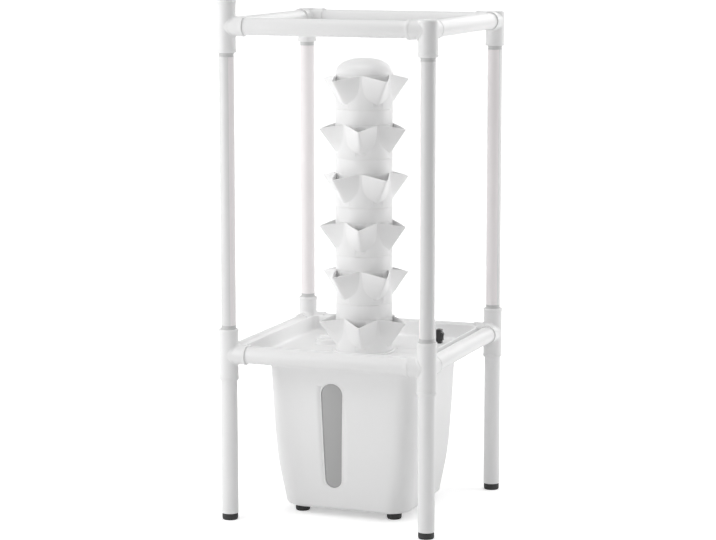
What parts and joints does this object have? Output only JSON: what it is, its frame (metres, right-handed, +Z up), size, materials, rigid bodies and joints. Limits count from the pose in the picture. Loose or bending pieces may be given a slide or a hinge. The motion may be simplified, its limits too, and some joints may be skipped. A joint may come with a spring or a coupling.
{
  "type": "vertical planter tower",
  "caption": "Upright planting tower of stacked flared pockets on a water tank, inside a square pipe frame whose upper posts are tube lamps.",
  "frame": {"origin": "on the floor, under the tower's axis at the middle of the frame", "axes": "+Z up, +Y away from the front (the side with the level window), +X to the viewer's right"},
  "size_m": [0.5436, 0.5476, 1.248],
  "materials": {
    "frame_white": "satin extruded pipe and moulded fittings",
    "foot_black": "matt moulded rubber",
    "lamp_grey": "satin extruded",
    "lamp_frost": "frosted",
    "board_white": "satin",
    "cap_dark": "fine grain",
    "tank_white": "fine grain",
    "window_grey": "clear grey",
    "tray_white": "fine grain",
    "tower_white": "satin moulded",
    "riser_white": "satin",
    "pump_black": "satin moulded",
    "switch_black": "satin moulded"
  },
  "bodies": {
    "frame_tank_tower": {"leg_front_left": "frame_white", "leg_front_right": "frame_white", "leg_back_right": "frame_white", "leg_back_left": "frame_white", "leg_feet": "foot_black", "deck_corner_front_left": "frame_white", "deck_corner_front_right": "frame_white", "deck_corner_back_right": "frame_white", "deck_corner_back_left": "frame_white", "deck_rail_front": "frame_white", "deck_rail_back": "frame_white", "deck_rail_left": "frame_white", "deck_rail_right": "frame_white", "top_corner_front_left": "frame_white", "top_corner_front_right": "frame_white", "top_corner_back_right": "frame_white", "top_corner_back_left": "frame_white", "top_rail_front": "frame_white", "top_rail_back": "frame_white", "top_rail_left": "frame_white", "top_rail_right": "frame_white", "socket_plug": "frame_white", "tank_shell": "tank_white", "level_window": "window_grey", "tank_feet": "foot_black", "deck_tray": "tray_white", "switch_box": "switch_black", "pump_cups": "foot_black", "pump_strainer": "pump_black", "pump_body": "pump_black", "riser_pipe": "riser_white", "tower_base": "tower_white", "tier_1": "tower_white", "tier_2": "tower_white", "tier_3": "tower_white", "tier_4": "tower_white", "tier_5": "tower_white", "tier_6": "tower_white", "neck_sleeves": "tower_white", "distributor": "tower_white"},
    "cap": {"dome_cap": "tower_white"},
    "filler_lid": {"filler_cap": "tray_white"},
    "rocker": {"rocker": "switch_black"},
    "impeller": {"pump_impeller": "pump_black"},
    "lamp_front_left": {"lamp_housing_front_left": "lamp_grey", "lamp_diffuser_front_left": "lamp_frost", "lamp_board_front_left": "board_white", "lamp_caps_front_left": "cap_dark"},
    "lamp_front_right": {"lamp_housing_front_right": "lamp_grey", "lamp_diffuser_front_right": "lamp_frost", "lamp_board_front_right": "board_white", "lamp_caps_front_right": "cap_dark"},
    "lamp_back_right": {"lamp_housing_back_right": "lamp_grey", "lamp_diffuser_back_right": "lamp_frost", "lamp_board_back_right": "board_white", "lamp_caps_back_right": "cap_dark"},
    "lamp_back_left": {"lamp_housing_back_left": "lamp_grey", "lamp_diffuser_back_left": "lamp_frost", "lamp_board_back_left": "board_white", "lamp_caps_back_left": "cap_dark"}
  },
  "joints": [
    {"name": "cap_lift", "type": "slide", "parent": "frame_tank_tower", "child": "cap", "axis": [0, 0, 1], "range_m": [0, 0.06]},
    {"name": "filler_lift", "type": "slide", "parent": "frame_tank_tower", "child": "filler_lid", "axis": [0, 0, 1], "range_m": [0, 0.03]},
    {"name": "rocker_tilt", "type": "hinge", "parent": "frame_tank_tower", "child": "rocker", "pos_m": [0.147, 0.155, 0.399], "axis": [0, -1, 0], "range_deg": [0, 14]},
    {"name": "impeller_spin", "type": "hinge", "parent": "frame_tank_tower", "child": "impeller", "pos_m": [0, 0, 0.04], "axis": [0, 0, 1], "continuous": true},
    {"name": "lamp_turn_front_left", "type": "hinge", "parent": "frame_tank_tower", "child": "lamp_front_left", "pos_m": [-0.248, -0.25, 0.78], "axis": [0, 0, 1], "range_deg": [-45, 45]},
    {"name": "lamp_turn_front_right", "type": "hinge", "parent": "frame_tank_tower", "child": "lamp_front_right", "pos_m": [0.248, -0.25, 0.78], "axis": [0, 0, 1], "range_deg": [-45, 45]},
    {"name": "lamp_turn_back_right", "type": "hinge", "parent": "frame_tank_tower", "child": "lamp_back_right", "pos_m": [0.248, 0.25, 0.78], "axis": [0, 0, 1], "range_deg": [-45, 45]},
    {"name": "lamp_turn_back_left", "type": "hinge", "parent": "frame_tank_tower", "child": "lamp_back_left", "pos_m": [-0.248, 0.25, 0.78], "axis": [0, 0, 1], "range_deg": [-45, 45]}
  ]
}
